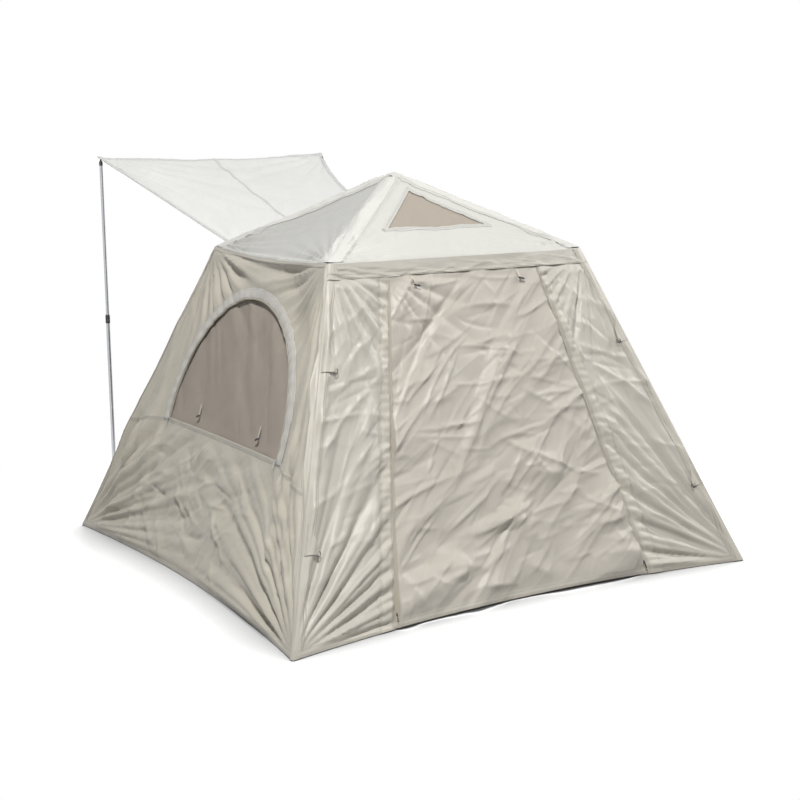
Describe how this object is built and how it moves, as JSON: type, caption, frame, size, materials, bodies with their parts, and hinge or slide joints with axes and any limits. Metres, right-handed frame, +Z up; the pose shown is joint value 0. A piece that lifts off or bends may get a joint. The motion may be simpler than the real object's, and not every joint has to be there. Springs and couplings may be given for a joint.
{
  "type": "camping tent",
  "caption": "Hub-frame cabin tent with square floor, tapered walls, pyramid roof, arched netting side windows, front zip door and a raised back door on poles as an awning",
  "frame": {"origin": "Middle of the groundsheet's underside, on the ground.", "axes": "+X right along the front wall as seen from outside, +Y from the front door to the back door with the awning, +Z up."},
  "size_m": [2.2006, 2.9131, 1.7135],
  "materials": {
    "wall_cloth": "satin woven polyester",
    "roof_cloth": "satin woven polyester, paler",
    "floor_cloth": "coated woven floor cloth",
    "netting": "fine insect netting",
    "webbing": "woven webbing",
    "tube_metal": "drawn tube, satin",
    "dark_plastic": "moulded nylon, matte",
    "zip_metal": "plated metal, satin"
  },
  "bodies": {
    "shell": {"groundsheet": "floor_cloth", "front_wall_left": "wall_cloth", "front_wall_right": "wall_cloth", "back_wall_left": "wall_cloth", "back_wall_right": "wall_cloth", "left_wall_lower": "wall_cloth", "left_wall_upper": "wall_cloth", "right_wall_lower": "wall_cloth", "right_wall_upper": "wall_cloth", "window_mesh_left": "netting", "window_mesh_right": "netting", "roof_front": "roof_cloth", "roof_back": "roof_cloth", "roof_left": "roof_cloth", "roof_right": "roof_cloth", "skylight_mesh": "netting", "roof_hip_strips": "roof_cloth", "hub_cap": "roof_cloth"},
    "window_cover_left": {"window_cover_left": "wall_cloth"},
    "window_cover_right": {"window_cover_right": "wall_cloth"},
    "front_door": {"front_door_panel": "wall_cloth", "front_door_tie_left": "webbing", "front_door_tie_right": "webbing"},
    "awning": {"back_door_awning": "roof_cloth", "back_door_tie_left": "webbing", "back_door_tie_right": "webbing"},
    "hub": {"hub_body": "dark_plastic"},
    "arm_front_left": {"roof_arm_front_left": "tube_metal", "elbow_bracket_front_left": "dark_plastic"},
    "upper_leg_front_left": {"leg_upper_front_left": "tube_metal"},
    "lower_leg_front_left": {"leg_lower_front_left": "tube_metal", "foot_front_left": "dark_plastic"},
    "button_front_left": {"snap_button_front_left": "zip_metal"},
    "arm_front_right": {"roof_arm_front_right": "tube_metal", "elbow_bracket_front_right": "dark_plastic"},
    "upper_leg_front_right": {"leg_upper_front_right": "tube_metal"},
    "lower_leg_front_right": {"leg_lower_front_right": "tube_metal", "foot_front_right": "dark_plastic"},
    "button_front_right": {"snap_button_front_right": "zip_metal"},
    "arm_back_left": {"roof_arm_back_left": "tube_metal", "elbow_bracket_back_left": "dark_plastic"},
    "upper_leg_back_left": {"leg_upper_back_left": "tube_metal"},
    "lower_leg_back_left": {"leg_lower_back_left": "tube_metal", "foot_back_left": "dark_plastic"},
    "button_back_left": {"snap_button_back_left": "zip_metal"},
    "arm_back_right": {"roof_arm_back_right": "tube_metal", "elbow_bracket_back_right": "dark_plastic"},
    "upper_leg_back_right": {"leg_upper_back_right": "tube_metal"},
    "lower_leg_back_right": {"leg_lower_back_right": "tube_metal", "foot_back_right": "dark_plastic"},
    "button_back_right": {"snap_button_back_right": "zip_metal"},
    "upper_pole_left": {"awning_pole_upper_left": "tube_metal"},
    "lower_pole_left": {"awning_pole_lower_left": "tube_metal"},
    "upper_pole_right": {"awning_pole_upper_right": "tube_metal"},
    "lower_pole_right": {"awning_pole_lower_right": "tube_metal"},
    "front_slider_left": {"front_zip_slider_left": "zip_metal"},
    "back_slider_left": {"back_zip_slider_left": "zip_metal"},
    "front_slider_right": {"front_zip_slider_right": "zip_metal"},
    "back_slider_right": {"back_zip_slider_right": "zip_metal"}
  },
  "joints": [
    {"name": "hub_slide", "type": "slide", "parent": "shell", "child": "hub", "axis": [0, 0, 1], "range_m": [-1.46, 0]},
    {"name": "arm_hinge_front_left", "type": "hinge", "parent": "hub", "child": "arm_front_left", "pos_m": [-0.04231, -0.03514, 1.61472], "axis": [-0.639, 0.7692, 0], "range_deg": [0, 102]},
    {"name": "leg_hinge_front_left", "type": "hinge", "parent": "arm_front_left", "child": "upper_leg_front_left", "pos_m": [-0.56447, -0.46888, 1.30951], "axis": [0.6202, -0.7786, 0.0959], "range_deg": [0, 131.19]},
    {"name": "leg_slide_front_left", "type": "slide", "parent": "upper_leg_front_left", "child": "lower_leg_front_left", "axis": [0.3285, 0.3688, 0.8695], "range_m": [0, 0.628]},
    {"name": "button_press_front_left", "type": "slide", "parent": "upper_leg_front_left", "child": "button_front_left", "axis": [-0.6977, -0.5258, 0.4866], "range_m": [0, 0.003], "stiffness_N_per_m": 400},
    {"name": "arm_hinge_front_right", "type": "hinge", "parent": "hub", "child": "arm_front_right", "pos_m": [0.04231, -0.03514, 1.61472], "axis": [-0.639, -0.7692, 0], "range_deg": [0, 102]},
    {"name": "leg_hinge_front_right", "type": "hinge", "parent": "arm_front_right", "child": "upper_leg_front_right", "pos_m": [0.56447, -0.46888, 1.30951], "axis": [0.6202, 0.7786, -0.0959], "range_deg": [0, 131.19]},
    {"name": "leg_slide_front_right", "type": "slide", "parent": "upper_leg_front_right", "child": "lower_leg_front_right", "axis": [-0.3285, 0.3688, 0.8695], "range_m": [0, 0.628]},
    {"name": "button_press_front_right", "type": "slide", "parent": "upper_leg_front_right", "child": "button_front_right", "axis": [0.6977, -0.5258, 0.4866], "range_m": [0, 0.003], "stiffness_N_per_m": 400},
    {"name": "arm_hinge_back_left", "type": "hinge", "parent": "hub", "child": "arm_back_left", "pos_m": [-0.04231, 0.03514, 1.61472], "axis": [0.639, 0.7692, 0], "range_deg": [0, 102]},
    {"name": "leg_hinge_back_left", "type": "hinge", "parent": "arm_back_left", "child": "upper_leg_back_left", "pos_m": [-0.56447, 0.46888, 1.30951], "axis": [-0.6202, -0.7786, -0.0959], "range_deg": [0, 131.19]},
    {"name": "leg_slide_back_left", "type": "slide", "parent": "upper_leg_back_left", "child": "lower_leg_back_left", "axis": [0.3285, -0.3688, 0.8695], "range_m": [0, 0.628]},
    {"name": "button_press_back_left", "type": "slide", "parent": "upper_leg_back_left", "child": "button_back_left", "axis": [-0.6977, 0.5258, 0.4866], "range_m": [0, 0.003], "stiffness_N_per_m": 400},
    {"name": "arm_hinge_back_right", "type": "hinge", "parent": "hub", "child": "arm_back_right", "pos_m": [0.04231, 0.03514, 1.61472], "axis": [0.639, -0.7692, 0], "range_deg": [0, 102]},
    {"name": "leg_hinge_back_right", "type": "hinge", "parent": "arm_back_right", "child": "upper_leg_back_right", "pos_m": [0.56447, 0.46888, 1.30951], "axis": [-0.6202, 0.7786, 0.0959], "range_deg": [0, 131.19]},
    {"name": "leg_slide_back_right", "type": "slide", "parent": "upper_leg_back_right", "child": "lower_leg_back_right", "axis": [-0.3285, -0.3688, 0.8695], "range_m": [0, 0.628]},
    {"name": "button_press_back_right", "type": "slide", "parent": "upper_leg_back_right", "child": "button_back_right", "axis": [0.6977, 0.5258, 0.4866], "range_m": [0, 0.003], "stiffness_N_per_m": 400},
    {"name": "front_door_hinge", "type": "hinge", "parent": "shell", "child": "front_door", "pos_m": [0, -0.53743, 1.27334], "axis": [-1, 0, 0], "range_deg": [0, 86]},
    {"name": "awning_hinge", "type": "hinge", "parent": "shell", "child": "awning", "pos_m": [0, 0.54076, 1.27364], "axis": [-1, 0, 0], "range_deg": [0, 84.8]},
    {"name": "pole_hinge_left", "type": "hinge", "parent": "awning", "child": "upper_pole_left", "pos_m": [-0.645, 1.82399, 1.69329], "axis": [0, -1, 0], "range_deg": [0, 86.5]},
    {"name": "pole_slide_left", "type": "slide", "parent": "upper_pole_left", "child": "lower_pole_left", "axis": [0, 0, 1], "range_m": [0, 0.771]},
    {"name": "pole_hinge_right", "type": "hinge", "parent": "awning", "child": "upper_pole_right", "pos_m": [0.645, 1.79925, 1.68529], "axis": [0, 1, 0], "range_deg": [0, 86.5]},
    {"name": "pole_slide_right", "type": "slide", "parent": "upper_pole_right", "child": "lower_pole_right", "axis": [0, 0, 1], "range_m": [0, 0.771]},
    {"name": "window_cover_hinge_left", "type": "hinge", "parent": "shell", "child": "window_cover_left", "pos_m": [-0.845, 0, 0.57271], "axis": [0, 1, 0], "range_deg": [0, 130]},
    {"name": "window_cover_hinge_right", "type": "hinge", "parent": "shell", "child": "window_cover_right", "pos_m": [0.845, 0, 0.57271], "axis": [0, -1, 0], "range_deg": [0, 130]},
    {"name": "front_zip_slide_left", "type": "slide", "parent": "front_door", "child": "front_slider_left", "axis": [0.1897, 0.331, 0.9244], "range_m": [0, 1.273]},
    {"name": "back_zip_slide_left", "type": "slide", "parent": "awning", "child": "back_slider_left", "axis": [-0.1662, 0.9335, 0.3178], "range_m": [0, 1.294]},
    {"name": "front_zip_slide_right", "type": "slide", "parent": "front_door", "child": "front_slider_right", "axis": [-0.1897, 0.331, 0.9244], "range_m": [0, 1.273]},
    {"name": "back_zip_slide_right", "type": "slide", "parent": "awning", "child": "back_slider_right", "axis": [0.1662, 0.9335, 0.3178], "range_m": [0, 1.294]}
  ],
  "couplings": [
    {"joint": "arm_hinge_front_left", "follows": "hub_slide", "rad_per_m": -1.2193},
    {"joint": "leg_hinge_front_left", "follows": "hub_slide", "rad_per_m": -1.5681},
    {"joint": "leg_slide_front_left", "follows": "hub_slide", "ratio": -0.4301},
    {"joint": "arm_hinge_front_right", "follows": "hub_slide", "rad_per_m": -1.2193},
    {"joint": "leg_hinge_front_right", "follows": "hub_slide", "rad_per_m": -1.5681},
    {"joint": "leg_slide_front_right", "follows": "hub_slide", "ratio": -0.4301},
    {"joint": "arm_hinge_back_left", "follows": "hub_slide", "rad_per_m": -1.2193},
    {"joint": "leg_hinge_back_left", "follows": "hub_slide", "rad_per_m": -1.5681},
    {"joint": "leg_slide_back_left", "follows": "hub_slide", "ratio": -0.4301},
    {"joint": "arm_hinge_back_right", "follows": "hub_slide", "rad_per_m": -1.2193},
    {"joint": "leg_hinge_back_right", "follows": "hub_slide", "rad_per_m": -1.5681},
    {"joint": "leg_slide_back_right", "follows": "hub_slide", "ratio": -0.4301},
    {"joint": "pole_hinge_left", "follows": "awning_hinge", "ratio": 1.02},
    {"joint": "pole_slide_left", "follows": "awning_hinge", "m_per_rad": 0.5203},
    {"joint": "pole_hinge_right", "follows": "awning_hinge", "ratio": 1.02},
    {"joint": "pole_slide_right", "follows": "awning_hinge", "m_per_rad": 0.5203}
  ]
}
